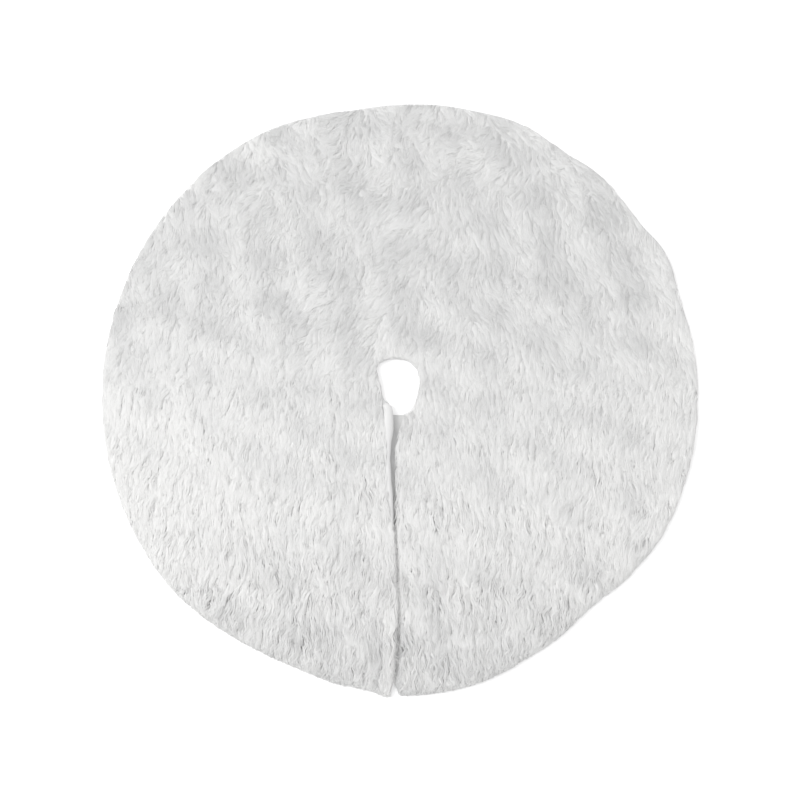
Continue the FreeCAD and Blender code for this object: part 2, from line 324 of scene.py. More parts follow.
def ridge_height(x, y):
    total = np.zeros(np.shape(x))
    for (ax, ay), (bx, by), height in RIDGES:
        length = math.hypot(bx - ax, by - ay)
        along = ((x - ax) * (bx - ax) + (y - ay) * (by - ay)) / length
        across = ((x - ax) * (by - ay) - (y - ay) * (bx - ax)) / length
        ends = smooth(-0.03, 0.05, along) * smooth(length + 0.03, length - 0.05, along)
        total += height * ends * hump(across + 0.004 * lie_noise(x, y), 0, RIDGE_WIDTH)
    return total


def cloth_low(x, y):
    """Height of the lining's underside: near the floor, and lifted where the flap lies over the placket."""
    z = 0.0004 + 0.0012 * np.clip(lie_noise(x, y), 0, 1.5) + ridge_height(x, y)
    lift = FLAP_LIFT * smooth(RAMP_FOOT, RAMP_HEAD, x) * smooth(SLIT_TOP, -0.05, y)
    lift = lift * smooth(PLACKET_LOW.y - 0.02, PLACKET_LOW.y, y)
    on_flap = (y < SLIT_TOP) & (x < edge_x(LEFT_EDGE, y) + LIFT_REACH)
    return z + np.where(on_flap, lift, 0)


def lining_top(x, y):
    return cloth_low(x, y) + LINING_THICK


def backing_low(x, y):
    return lining_top(x, y) + BACKING_GAP


def backing_top(x, y):
    return cloth_low(x, y) + LINING_THICK + BACKING_GAP + BACKING_THICK


def pile_envelope(x, y):
    """Height the pile may stand to, as a share: it rounds off towards the hem, the hole and the slit."""
    angle = np.arctan2(y, x)
    r = np.hypot(x, y)
    hem = round_off(hem_radius(angle) + 0.002 - r, HEM_ROUND)
    hole = round_off(r - hole_radius(angle) + 0.001, HOLE_ROUND)
    below = y < SLIT_TOP
    middle = 0.5 * (edge_x(LEFT_EDGE, y) + edge_x(RIGHT_EDGE, y))
    from_right = np.where(below & (x > middle), x - edge_x(RIGHT_EDGE, y) + EDGE_MARGIN, 1.0)
    slope_run = SLIT_ROUND + 0.005 * smooth(-0.44, -0.50, y)
    slope_right = 0.18 + 0.82 * np.clip((from_right - EDGE_MARGIN) / slope_run, 0, 1)
    farther = smooth(-0.26, -0.30, y)
    right = round_off(from_right, SLIT_ROUND) * (1 - farther) + slope_right * farther
    from_left = np.where(below & (x <= middle), pile_left_edge(y) - x + EDGE_MARGIN, 1.0)
    left = round_off(from_left, BAND_ROUND + 0.006 * smooth(-0.22, -0.30, y))
    return hem * hole * right * left


def pile_foot(x, y):
    """Top of the dense foot of the pile."""
    return backing_top(x, y) + PILE_BASE * pile_envelope(x, y) - PILE_SINK


# ---- the fold's axis, read from the joint; the pieces that fold are left flat ----

JOINT = frame["joints"][0]
FOLD_ALONG = Vector(JOINT["axis"])
FOLD_ACROSS = FOLD_ALONG.cross(Vector((0, 0, 1)))
if FOLD_ACROSS.x < 0:
    FOLD_ACROSS = -FOLD_ACROSS
FLAP_TOP = 0.026  # the pieces that fold reach up to this y beside the hole


def bend(piece):
    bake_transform(piece)


# ---- meshes ----


def new_piece(name, verts, faces, materials):
    """A smooth mesh from corners and face tables; the faces of one table have the same number of sides."""
    mesh = bpy.data.meshes.new(name)
    mesh.vertices.add(len(verts))
    mesh.vertices.foreach_set("co", np.asarray(verts, np.float32).ravel())
    loops = np.concatenate([table.ravel() for table in faces])
    sides = np.concatenate([np.full(len(table), table.shape[1]) for table in faces])
    mesh.loops.add(len(loops))
    mesh.loops.foreach_set("vertex_index", loops.astype(np.int32))
    mesh.polygons.add(len(sides))
    mesh.polygons.foreach_set("loop_start", (np.cumsum(sides) - sides).astype(np.int32))
    mesh.update(calc_edges=True)
    mesh.polygons.foreach_set("use_smooth", np.ones(len(sides), bool))
    for material in materials:
        mesh.materials.append(material)
    piece = bpy.data.objects.new(name, mesh)
    bpy.context.scene.collection.objects.link(piece)
    return piece


def unit(vectors):
    """The vectors of a table, each made one long."""
    return vectors / (np.linalg.norm(vectors, axis=-1, keepdims=True) + 1e-9)


def shell_faces(rows, columns):
    """Quads of a closed sheet whose upper grid comes first and lower grid after it."""
    grid = np.arange(rows * columns).reshape(rows, columns)
    top = np.stack([grid[:-1, :-1], grid[1:, :-1], grid[1:, 1:], grid[:-1, 1:]], -1).reshape(-1, 4)
    low = top[:, ::-1] + rows * columns
    rim = np.concatenate([grid[:-1, 0], grid[-1, :-1], grid[:0:-1, -1], grid[0, :0:-1]])
    following = np.roll(rim, -1)
    walls = np.stack([following, rim, rim + rows * columns, following + rows * columns], -1)
    return [np.concatenate([top, low, walls])]


def tube_faces(rings, around):
    """Faces of a closed tube: its sides, then a cap at each end. Rings turn left as seen from the start."""
    start = np.arange(rings - 1)[:, None] * around
    k = np.arange(around)[None, :]
    a = (start + k).ravel()
    b = (start + (k + 1) % around).ravel()
    sides = np.stack([a, b, b + around, a + around], -1)
    near = np.arange(around)[::-1]
    far = np.arange(around) + (rings - 1) * around
    return [sides, np.stack([near, far])]


def repeated(table, count, step):
    """One table of faces for many alike islands, whose corners follow one another by a step."""
    shift = (np.arange(count) * step)[:, None, None]
    return (table[None] + shift).reshape(-1, table.shape[1])


def many_tubes(name, paths, flanks, radii, around, material):
    """One closed tube for each path of the same number of points; each path lies square to its flank."""
    count, rings = paths.shape[:2]
    heading = np.gradient(paths, axis=1)
    heading /= np.linalg.norm(heading, axis=2, keepdims=True)
    flank = np.repeat(flanks[:, None], rings, 1)
    rise = np.cross(heading, flank)
    theta = np.linspace(0, 2 * math.pi, around, endpoint=False)
    around_flank = flank[:, :, None] * np.cos(theta)[None, None, :, None]
    around_rise = rise[:, :, None] * np.sin(theta)[None, None, :, None]
    verts = paths[:, :, None] + (around_flank + around_rise) * np.asarray(radii)[None, :, None, None]
    tables = [repeated(table, count, rings * around) for table in tube_faces(rings, around)]
    return new_piece(name, verts.reshape(-1, 3), tables, [material])


def sheet_grid(from_angle, to_angle, rows, columns, inner_gap, outer_gap):
    """Plan positions between the hole and the hem. The two angles are functions of the radius."""
    v = np.linspace(0, 1, rows)[:, None]
    u = np.linspace(0, 1, columns)[None, :]
    radius = TRUNK_RADIUS + v * (HEM_BASE - TRUNK_RADIUS)
    radius = np.repeat(radius, columns, 1)
    for _ in range(3):  # angle and radius depend on each other, and settle in three rounds
        angle = from_angle(radius) * (1 - u) + to_angle(radius) * u
        inner = hole_radius(angle) + inner_gap
        outer = hem_radius(angle) - outer_gap
        radius = inner + v * (outer - inner)
    return radius * np.cos(angle), radius * np.sin(angle)


def right_slit_angle(offset):
    def angle(radius):
        x = edge_x(RIGHT_EDGE, -radius) + offset
        return np.arcsin(np.clip(x / radius, -1, 1)) - math.pi / 2

    return angle


def left_slit_angle(offset):
    def angle(radius):
        x = edge_x(LEFT_EDGE, -radius) - offset
        return 1.5 * math.pi + np.arcsin(np.clip(x / radius, -1, 1))

    return angle


def beside_hole_angle(radius):
    """Where the main cloth meets the cloth that folds, level with the hole."""
    return math.pi - np.arcsin(np.clip(FLAP_TOP / radius, -1, 1))


def thin_sheet(name, plan, low, high, material):
    """A closed sheet over a grid of plan positions, between two heights."""
    x, y = plan
    rows, columns = x.shape
    top = np.stack([x, y, high(x, y)], -1).reshape(-1, 3)
    bottom = np.stack([x, y, low(x, y)], -1).reshape(-1, 3)
    return new_piece(name, np.concatenate([top, bottom]), shell_faces(rows, columns), [material])


# ---- materials ----


def new_material(name, roughness, sheen=0.0):
    material = bpy.data.materials.new(name)
    material.use_nodes = True
    shader = material.node_tree.nodes["Principled BSDF"]
    shader.inputs["Roughness"].default_value = roughness
    shader.inputs["Specular IOR Level"].default_value = 0.25
    shader.inputs["Sheen Weight"].default_value = sheen
    shader.inputs["Sheen Roughness"].default_value = 0.5
    return material, material.node_tree, shader


def plain_material(name, roughness, sheen, colour):
    material, _, shader = new_material(name, roughness, sheen)
    shader.inputs["Base Color"].default_value = (*colour, 1)
    return material


def colour_ramp(tree, stops):
    """A ramp from its stops, in order: position and colour."""
    ramp = tree.nodes.new("ShaderNodeValToRGB")
    elements = ramp.color_ramp.elements
    elements[0].position, elements[0].color = stops[0][0], (*stops[0][1], 1)
    elements[1].position, elements[1].color = stops[-1][0], (*stops[-1][1], 1)
    for position, colour in stops[1:-1]:
        elements.new(position).color = (*colour, 1)
    return ramp


def plush_material():
    """The colour follows the strand: its lock's shade across, and root to tip along, with the root painted
    darker as shade deep in the pile.
    """
    material, tree, shader = new_material("plush", 0.8, 0.15)
    uv = tree.nodes.new("ShaderNodeUVMap")
    uv.uv_map = "OFBake"
    parts = tree.nodes.new("ShaderNodeSeparateXYZ")
    # The shade ramp runs from a dark end to a light end. It carries the locks' random tone, and painted
    # light and shade.
    dark_tone_and_painted_shade, middle_tone, light_tone_and_painted_light = (0.688, 0.689, 0.688), (0.842, 0.842, 0.837), (0.920, 0.918, 0.910)
    shade = colour_ramp(tree, [(0, dark_tone_and_painted_shade), (0.5, middle_tone), (1, light_tone_and_painted_light)])
    # Painted shade: the strands darken towards the root, down in the pile.
    depth = colour_ramp(tree, [(0, (0.95, 0.95, 0.95)), (0.55, (1, 1, 1))])
    mix = tree.nodes.new("ShaderNodeMixRGB")
    mix.blend_type = "MULTIPLY"
    mix.inputs["Fac"].default_value = 1
    tree.links.new(uv.outputs["UV"], parts.inputs[0])
    tree.links.new(parts.outputs["X"], shade.inputs["Fac"])
    tree.links.new(parts.outputs["Y"], depth.inputs["Fac"])
    tree.links.new(shade.outputs["Color"], mix.inputs["Color1"])
    tree.links.new(depth.outputs["Color"], mix.inputs["Color2"])
    tree.links.new(mix.outputs["Color"], shader.inputs["Base Color"])
    return material


WAVE_SCALE = 0.314  # a wave texture of this scale repeats once a metre


def woven_material(name, colour_a, colour_b, pitch, roughness, depth):
    """Plain weave: two crossed sets of threads as bands, with slow colour variation."""
    material, tree, shader = new_material(name, roughness, 0.1)
    place = tree.nodes.new("ShaderNodeTexCoord")
    bands = []
    for direction in ("X", "Y"):
        wave = tree.nodes.new("ShaderNodeTexWave")
        wave.bands_direction = direction
        wave.inputs["Scale"].default_value = WAVE_SCALE / pitch
        wave.inputs["Distortion"].default_value = 0.6
        wave.inputs["Detail Scale"].default_value = 2.0
        tree.links.new(place.outputs["Object"], wave.inputs["Vector"])
        bands.append(wave)
    cross = tree.nodes.new("ShaderNodeMath")
    cross.operation = "MAXIMUM"
    tree.links.new(bands[0].outputs["Fac"], cross.inputs[0])
    tree.links.new(bands[1].outputs["Fac"], cross.inputs[1])
    bump = tree.nodes.new("ShaderNodeBump")
    bump.inputs["Strength"].default_value = depth
    bump.inputs["Distance"].default_value = 0.0003
    tree.links.new(cross.outputs[0], bump.inputs["Height"])
    tree.links.new(bump.outputs["Normal"], shader.inputs["Normal"])
    noise = tree.nodes.new("ShaderNodeTexNoise")
    noise.inputs["Scale"].default_value = 9
    noise.inputs["Detail"].default_value = 3
    tree.links.new(place.outputs["Object"], noise.inputs["Vector"])
    ramp = colour_ramp(tree, [(0.35, colour_a), (0.65, colour_b)])
    tree.links.new(noise.outputs["Fac"], ramp.inputs["Fac"])
    tree.links.new(ramp.outputs["Color"], shader.inputs["Base Color"])
    return material


def floor_white():
    """A white floor that gives a little light of its own, so that shadows on it stay pale."""
    material, _, shader = new_material("floor", 0.9)
    shader.inputs["Base Color"].default_value = (0.93, 0.93, 0.93, 1)
    shader.inputs["Emission Color"].default_value = (1, 1, 1, 1)
    shader.inputs["Emission Strength"].default_value = 0.22
    return material


plush = plush_material()
# The pile's foot is coloured a little darker than the pile: painted shade where it shows between the
# strands.
plush_foot = woven_material(
    "plush_foot", (0.76, 0.76, 0.76), (0.81, 0.81, 0.805), pitch=0.0011, roughness=0.9, depth=0.5
)
lining_cloth = woven_material(
    "lining_cloth", (0.80, 0.80, 0.79), (0.85, 0.85, 0.845), pitch=0.0007, roughness=0.75, depth=0.5
)
# The placket is painted greyer than the edging: painted shade, as it lies in the flap's shadow.
placket_cloth = woven_material(
    "placket_cloth", (0.69, 0.69, 0.69), (0.74, 0.74, 0.735), pitch=0.0006, roughness=0.8, depth=0.35
)
edging_cloth = woven_material(
    "edging_cloth", (0.775, 0.775, 0.775), (0.825, 0.825, 0.82), pitch=0.0006, roughness=0.65, depth=0.35
)
thread = plain_material("thread", 0.7, 0.1, (0.82, 0.82, 0.81))
hook_nylon = plain_material("hook_nylon", 0.45, 0.0, (0.80, 0.81, 0.81))
floor_material = floor_white()

# ---- lining and backing ----

CLOTH_ROWS = 66
MAIN_COLUMNS = 300
FLAP_COLUMNS = 110


def make_cloth(kind, nodes, heights, material, gaps):
    """The main part of a cloth and the part that folds. The gaps draw it in at the hole, hem and slit."""
    low, high = heights
    inner_gap, outer_gap, edge_gap = gaps
    from_angle, to_angle = right_slit_angle(edge_gap), beside_hole_angle
    main_plan = sheet_grid(from_angle, to_angle, CLOTH_ROWS, MAIN_COLUMNS, inner_gap, outer_gap)
    main = thin_sheet(kind, main_plan, low, high, material)
    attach(main, "skirt")
    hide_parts(nodes[0])
    from_angle, to_angle = beside_hole_angle, left_slit_angle(edge_gap)
    flap_plan = sheet_grid(from_angle, to_angle, CLOTH_ROWS, FLAP_COLUMNS, inner_gap, outer_gap)
    flap = thin_sheet(kind + "_fold", flap_plan, low, high, material)
    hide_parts(nodes[1])
    bend(flap)
    return main, flap


lining, lining_flap = make_cloth(
    "lining",
    nodes=("lining_panel", "lining_flap"),
    heights=(cloth_low, lining_top),
    material=lining_cloth,
    gaps=(0.002, 0.005, 0.003),
)
backing, backing_flap = make_cloth(
    "backing",
    nodes=("fur_panel", "fur_flap"),
    heights=(backing_low, pile_foot),
    material=plush_foot,
    gaps=(0.0005, 0.0015, 0.002),
)

# ---- pile ----

LOCK_PITCH = 0.0086  # across the pile
LOCK_ROW = 0.0110  # along it
STRANDS_PER_LOCK = 10
RINGS = np.array([0.0, 0.10, 0.25, 0.42, 0.58, 0.74, 0.88])  # where a strand's rings sit; its tip is at 1
TRIANGLES_PER_STRAND = 6 * (len(RINGS) - 1) + 4
PIECE_TRIANGLES = 195000  # most in one piece of pile
WAVE_LENGTH = 0.036  # of the kinks along a lock
CREASES = [0.014, -0.378, 0.43]  # y of the lines along which the skirt was folded
CURLED_SHARE = 0.030  # of the strands that are single hairs, thinner and out of line
STRAY_SHARE = 0.36  # of the strands beside the slit's right edge that lie out over the slit
STRAY_SPILL = 0.005  # how much farther they may reach than the others
ROOT_INSET = 0.0008  # no strand grows nearer to an edge than this
SHORTER = (0.8, 0.62, 0.45, 0.3, 0.18, 0.1, 0.05)  # shares a strand is cut to, in turn, until it stays in

comb_noise = ripple(21, 0.16)
comb_fine = ripple(22, 0.045)
shag_noise = ripple(23, 0.12)
wave_noise = ripple(24, 0.055)
length_noise = ripple(25, 0.07)
shade_noise = ripple(26, 0.10)


def crease_amount(x, y):
    """1 on a folding line, less beside it, 0 away from it."""
    total = np.zeros(np.shape(x))
    for level in CREASES:
        line = level + 0.006 * comb_fine(x, np.full_like(y, level))
        total += hump(y, line, 0.010)
    return np.clip(total, 0, 1)


def comb_lean(x, y):
    """Lean of the pile from the line towards the slit's end, in radians; positive leans down to -X."""
    low_half = 6 - 8 * hump(x, 0.08, 0.09) + 3 * smooth(0.25, 0.5, x)
    centre = -0.12 + 0.6 * (y - 0.1)
    upper = -2 - 10 * np.tanh((x - 0.06) / 0.12) + 32 * hump(x, centre, 0.10)
    upper_share = smooth(0.0, 0.10, y)
    lean = low_half * (1 - upper_share) + upper * upper_share
    far_top = smooth(0.36, 0.50, y)
    lean = lean + comb_noise(x, y) * (5 + 6 * upper_share + 16 * far_top)
    lean = lean + comb_fine(x, y) * (5 + 9 * upper_share + 12 * far_top + 22 * crease_amount(x, y))
    return np.radians(lean)


def shagginess(x, y):
    """About 1 where the locks are long and distinct, less where the pile is soft and even."""
    middle = 0.11 + 0.39 * smooth(0.10, -0.22, y)
    shaggy = middle + 0.46 * smooth(-0.15, -0.46, y) + 0.40 * smooth(-0.46, -0.58, y)
    shaggy = shaggy * (1 - 0.25 * smooth(-0.38, -0.55, x))
    return np.clip(shaggy * (1 + 0.18 * shag_noise(x, y)), 0.09, 1.4)


def painted_light_and_shade(x, y):
    """Painted light and shade on the pile, zone by zone: above 0 painted lighter, below 0 painted darker."""
    # Painted shade: darker towards the front, between the longer locks.
    front = -0.12 * smooth(-0.42, -0.54, y)
    # Painted shade: a darker patch across the middle.
    middle = -0.12 * hump(x, -0.05, 0.25) * hump(y, -0.11, 0.07)
    # Painted light: lighter on the left, the side the key light comes from, and across the lower middle.
    left = 0.45 * smooth(-0.15, -0.5, x) * hump(y, -0.20, 0.14) + 0.20 * hump(y, -0.27, 0.09)
    # Painted light: lighter towards the upper right.
    right = 0.20 * smooth(0.42, 0.60, x) * hump(y, 0.10, 0.20)
    past_right = x - edge_x(RIGHT_EDGE, y)
    # Painted shadow: darker beside the lower slit's right edge, in the flap's shadow.
    slit = -0.50 * smooth(0.024, 0.004, past_right) * (past_right > -0.002) * smooth(-0.42, -0.48, y)
    past_left = edge_x(LEFT_EDGE, y) - x
    # Painted light: lighter along the raised edge of the flap, low down.
    flap_edge = 0.80 * smooth(0.036, 0.006, past_left) * (past_left > -0.001) * smooth(-0.40, -0.46, y)
    return front + middle + left + right + slit + flap_edge


def plant_locks():
    """Middles of the locks, on a shaken staggered grid."""
    rng = np.random.default_rng(5)
    reach = SKIRT_RADIUS + 0.02
    rows = np.arange(-reach, reach, LOCK_ROW)
    columns = np.arange(-reach, reach, LOCK_PITCH)
    x, y = np.meshgrid(columns, rows)
    x = x + (np.arange(len(rows)) % 2)[:, None] * LOCK_PITCH / 2
    x = (x + rng.uniform(-0.38, 0.38, x.shape) * LOCK_PITCH).ravel()
    y = (y + rng.uniform(-0.42, 0.42, y.shape) * LOCK_ROW).ravel()
    keep = pile_inside(x, y) > -LOCK_PITCH
    return x[keep], y[keep]


def grow_locks(rng):
    """Sizes, direction, bends and shade of every lock, one value per lock."""
    x, y = plant_locks()
    locks = len(x)
    shag = shagginess(x, y)
    crease = crease_amount(x, y)
    lean = comb_lean(x, y) + np.radians(rng.normal(0, 5, locks)) * (1.6 - shag)
    length = (0.036 + 0.022 * shag) * (1 + 0.12 * length_noise(x, y) + rng.normal(0, 0.12, locks))
    length = np.clip(length * (1 - 0.35 * crease), 0.020, 0.074)
    height = 0.0009 + 0.0019 * shag + (0.0002 + 0.0028 * shag) * rng.uniform(0, 1, locks)
    half_width = LOCK_PITCH * rng.uniform(0.42, 0.62, locks)
    bend_size = (0.0003 + 0.0024 * shag) * rng.uniform(0.5, 1.4, locks)
    bend_phase = 1.3 * wave_noise(x, y) + rng.uniform(-0.5, 0.5, locks) - y * 2 * math.pi / WAVE_LENGTH
    gather = 0.22 + 0.22 * shag + rng.uniform(-0.1, 0.1, locks)
    # A random tone for each lock, and painted shade that makes the upper half darker.
    shade = 0.55 + 0.12 * shade_noise(x, y) + rng.normal(0, 0.05, locks) - 0.28 * smooth(-0.1, 0.2, y)
    return {
        "x": x,
        "y": y,
        "shag": shag,
        "lean": lean,
        "length": length,
        "height": height * (1 - 0.4 * crease),
        "half_width": half_width,
        "dome": half_width * (0.03 + 0.22 * shag),
        "bend_size": bend_size,
        "bend_phase": bend_phase,
        "bend_turns": length / WAVE_LENGTH,
        "pull": gather * half_width,
        "shade": np.clip(shade + painted_light_and_shade(x, y), 0.05, 0.95),
    }


def grow_strands():
    """Plan and height of every strand's rings and tip, with its width and shades, one row per strand."""
    rng = np.random.default_rng(6)
    locks = grow_locks(rng)
    number = len(locks["x"])
    lock = np.repeat(np.arange(number), STRANDS_PER_LOCK)
    count = len(lock)
    seat = np.tile(np.linspace(-1, 1, STRANDS_PER_LOCK), number) + rng.normal(0, 0.06, count)
    lean = locks["lean"][lock]
    along_x, along_y = -np.sin(lean), -np.cos(lean)
    across_x, across_y = -along_y, along_x
    step_back = rng.uniform(-0.5, 0.5, count) * 0.010
    half_width = locks["half_width"][lock]
    root_x = locks["x"][lock] + across_x * seat * half_width + along_x * step_back
    root_y = locks["y"][lock] + across_y * seat * half_width + along_y * step_back
    keep = pile_inside(root_x, root_y) > ROOT_INSET
    kept = (a[keep] for a in (lock, seat, root_x, root_y, along_x, along_y))
    lock, seat, root_x, root_y, along_x, along_y = kept
    across_x, across_y = -along_y, along_x
    count = len(lock)
    of = {name: values[lock] for name, values in locks.items()}

    length = of["length"] * (1 - 0.22 * np.abs(seat)) * rng.uniform(0.88, 1.06, count)
    drift = rng.normal(0, 0.05, count)
    by_slit = (np.abs(root_x - edge_x(RIGHT_EDGE, root_y)) < 0.010) & (root_y < -0.07) & (root_y > -0.54)
    stray = by_slit & (rng.uniform(0, 1, count) < STRAY_SHARE)
    drift = np.where(stray, -rng.uniform(0.10, 0.45, count), drift)
    curled = rng.uniform(0, 1, count) < CURLED_SHARE
    drift = np.where(curled, rng.uniform(-0.9, 0.9, count), drift)
    swing_size = np.where(curled, rng.uniform(0.0020, 0.0050, count), of["bend_size"])[:, None]
    swing_turns = (of["bend_turns"] * np.where(curled, rng.uniform(0.8, 1.6, count), 1))[:, None]
    phase = of["bend_phase"][:, None]
    t = np.concatenate([RINGS, [1.0]])[None, :]

    def course(share):
        """Plan position along every strand when it is cut to a share of its length."""
        reach = (length * share)[:, None] * t
        swing = np.sin(2 * math.pi * swing_turns * share[:, None] * t + phase) - np.sin(phase)
        side = swing_size * swing * smooth(0, 0.35, t)
        side = side - of["pull"][:, None] * seat[:, None] * t**1.3 + reach * drift[:, None]
        return (
            root_x[:, None] + along_x[:, None] * reach + across_x[:, None] * side,
            root_y[:, None] + along_y[:, None] * reach + across_y[:, None] * side,
        )

    share = np.ones(count)
    for trial in SHORTER:
        x, y = course(share)
        far_x = x[:, 3::2]
        far_y = y[:, 3::2]
        allowed = spill(far_x, far_y) + STRAY_SPILL * stray[:, None]
        out = (pile_inside(far_x, far_y) + allowed < 0).any(axis=1)
        share = np.where(out, trial, share)
    x, y = course(share)

    dive = np.where(curled, 0.10, 0.50)[:, None]
    rise = np.sin(np.clip(t / 0.25, 0, 1) * math.pi / 2) * (1 - dive * smooth(0.55, 1.0, t))
    stand = of["height"] * (0.55 + 0.45 * share) + 0.0016 * curled
    roof = of["dome"] * (1 - seat**2)
    z = PILE_BASE + (stand + roof + rng.normal(0, 0.00025, count))[:, None] * rise
    width = of["half_width"] / STRANDS_PER_LOCK * rng.uniform(1.25, 1.75, count)
    width = width * (1.25 - 0.25 * of["shag"]) * np.where(curled, 0.45, 1)
    # Stray single hairs are painted lighter: a painted highlight on hairs that stand clear of the pile.
    shade = of["shade"] + rng.normal(0, 0.03, count) + 0.15 * curled
    return {
        "x": x,
        "y": y,
        "z": backing_top(x, y) - PILE_SINK + z * pile_envelope(x, y),
        "width": width,
        "seat": seat,
        "across_x": across_x,
        "across_y": across_y,
        "shade": np.clip(shade, 0.01, 0.97),
        "root_x": root_x,
        "root_y": root_y,
    }


OWN_NORMAL = 0.20  # share of a strand's own side in its shading
DOME_NORMAL = 0.25  # and how much it is turned towards the lock's round back
TUCK = 0.35  # how far a strand's lower corners lie below its path, in half widths
CREST = 0.75  # and its ridge above it


def strand_faces():
    """Faces of one strand as index tables, and which face down: quads, then tip and root triangles."""
    rings = len(RINGS)
    quads = []
    for ring in range(rings - 1):
        for k in range(3):
            a = ring * 3 + k
            b = ring * 3 + (k + 1) % 3
            quads.append((a, a + 3, b + 3, b))
    last = (rings - 1) * 3
    triangles = [(last + (k + 1) % 3, last + k, last + 3) for k in range(3)]
    triangles.append((0, 1, 2))
    quads_down = np.tile([True, False, False], rings - 1)
    return np.array(quads), quads_down, np.array(triangles), np.array([True, False, False, True])


def strand_mesh(name, strands, chosen):
    """One closed mesh island per strand: three-sided rings, a root cap and a pointed tip."""
    path = np.stack([strands[k][chosen] for k in "xyz"], -1)
    count = len(path)
    rings = len(RINGS)
    heading = np.empty_like(path)
    heading[:, 1:-1] = path[:, 2:] - path[:, :-2]
    heading[:, 0] = path[:, 1] - path[:, 0]
    heading[:, -1] = path[:, -1] - path[:, -2]
    heading = unit(heading)
    side = unit(np.cross(heading, np.array([0, 0, 1.0])))
    over = np.cross(side, heading)
    taper = 1 - 0.25 * (RINGS < 0.05) - 0.6 * RINGS**2.5
    half = strands["width"][chosen][:, None, None] * taper[None, :, None]
    ring_path = path[:, :rings]
    ring_side = side[:, :rings] * half
    ring_over = over[:, :rings] * half
    left = ring_path - ring_side - ring_over * TUCK
    right = ring_path + ring_side - ring_over * TUCK
    ridge = ring_path + ring_over * CREST
    verts = np.stack([left, right, ridge], 2).reshape(count, rings * 3, 3)
    verts = np.concatenate([verts, path[:, rings:]], 1)
    quads, quads_down, triangles, triangles_down = strand_faces()
    tables = [repeated(table, count, rings * 3 + 1) for table in (quads, triangles)]
    piece = new_piece(name, verts.reshape(-1, 3), tables, [plush])

    # Soft shading: a corner's normal is drawn from the strand's own side towards the lock's round back.
    own = np.stack([-side[:, :rings], side[:, :rings], over[:, :rings]], 2).reshape(count, rings * 3, 3)
    own = np.concatenate([own, over[:, rings:]], 1)
    level = np.concatenate([np.repeat(over[:, :rings], 3, axis=1), over[:, rings:]], 1)
    seat = strands["seat"][chosen]
    roll = np.stack([strands["across_x"][chosen] * seat, strands["across_y"][chosen] * seat, 0 * seat], -1)
    upper = unit(level * (1 - OWN_NORMAL) + own * OWN_NORMAL + roll[:, None, :] * DOME_NORMAL)
    normals = []
    for table, down in ((quads, quads_down), (triangles, triangles_down)):
        picked = np.where(down[None, :, None, None], -level[:, table], upper[:, table])
        normals.append(picked.reshape(-1, 3))
    piece.data.normals_split_custom_set(np.concatenate(normals).astype(np.float32))

    # The material reads the lock's shade across this layer, and the way along the strand up it.
    t = np.concatenate([np.repeat(RINGS, 3), [1.0]])
    sideways = np.concatenate([np.tile([0.0, 0.004, 0.008], rings), [0.004]])
    u = strands["shade"][chosen][:, None] + sideways[None]
    v = np.repeat(0.02 + 0.96 * t[None], count, 0)
    coords = np.stack([u, v], -1)
    by_corner = np.concatenate([coords[:, quads].reshape(-1, 2), coords[:, triangles].reshape(-1, 2)])
    layer = piece.data.uv_layers.new(name="OFBake")
    layer.data.foreach_set("uv", by_corner.astype(np.float32).ravel())
    return piece


def split_pile(name, strands, chosen, key):
    """Cuts a set of strands, in the order of a key, into pieces within the limit on triangles."""
    ordered = chosen[np.argsort(key[chosen], kind="stable")]
    limit = PIECE_TRIANGLES // TRIANGLES_PER_STRAND
    groups = np.array_split(ordered, math.ceil(len(ordered) / limit))
    return [strand_mesh(f"{name}_{i + 1:02d}", strands, group) for i, group in enumerate(groups)]


def make_pile():
    strands = grow_strands()
    root_x, root_y = strands["root_x"], strands["root_y"]
    left_of_slit = (root_x < edge_x(LEFT_EDGE, root_y) + 0.002) & (root_x < -0.002)
    folding = (root_y < FLAP_TOP) & left_of_slit
    angle = np.degrees(np.arctan2(root_y, root_x))
    main_pieces = split_pile("pile", strands, np.flatnonzero(~folding), angle)
    flap_pieces = split_pile("pile_flap", strands, np.flatnonzero(folding), root_y)
    for piece in main_pieces:
        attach(piece, "skirt")
    for piece in flap_pieces:
        bend(piece)
    return main_pieces, flap_pieces


pile_main, pile_folding = make_pile()

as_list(pile_main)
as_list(pile_folding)

# ---- the rolled band on the flap's edge ----

BAND_END = -0.598
BAND_HALF_HEIGHT = 0.0049
BAND_STATIONS = 220
BAND_SIDES = 16


def make_edge_band():
    """A soft roll of edging along the flap's slit edge, slightly uneven as a turned edge is."""
    y = np.linspace(BAND_TOP, BAND_END, BAND_STATIONS)
    radius_noise = ripple(31, 0.05)
    plump = 1 + 0.06 * radius_noise(y * 0, y)
    ends = round_off(BAND_TOP - y, 0.009, 0.02) * round_off(y - BAND_END, 0.006, 0.02)
    at_hole = smooth(-0.125, -0.07, y)
    half_width = band_half_width(y) * plump * ends
    half_height = (BAND_HALF_HEIGHT + 0.0016 * at_hole) * plump * ends
    middle_x = edge_x(LEFT_EDGE, y) - band_half_width(y)
    middle_z = cloth_low(middle_x, y) + LINING_THICK + 0.0047 + 0.0014 * at_hole
    theta = np.linspace(0, 2 * math.pi, BAND_SIDES, endpoint=False)
    ring_x = middle_x[:, None] + half_width[:, None] * np.cos(theta)
    ring_z = middle_z[:, None] + half_height[:, None] * np.sin(theta)
    ring_y = np.repeat(y[:, None], BAND_SIDES, 1)
    verts = np.stack([ring_x, ring_y, ring_z], -1).reshape(-1, 3)
    band = new_piece("edge_band", verts, tube_faces(BAND_STATIONS, BAND_SIDES), [edging_cloth])
    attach(band, "overlap_flap")
    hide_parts("flap_edge_facing")


make_edge_band()

# ---- placket ----

PLACKET_THICK = 0.0008
PLACKET_NECK = 0.0575  # radius of its hollow end round the hole


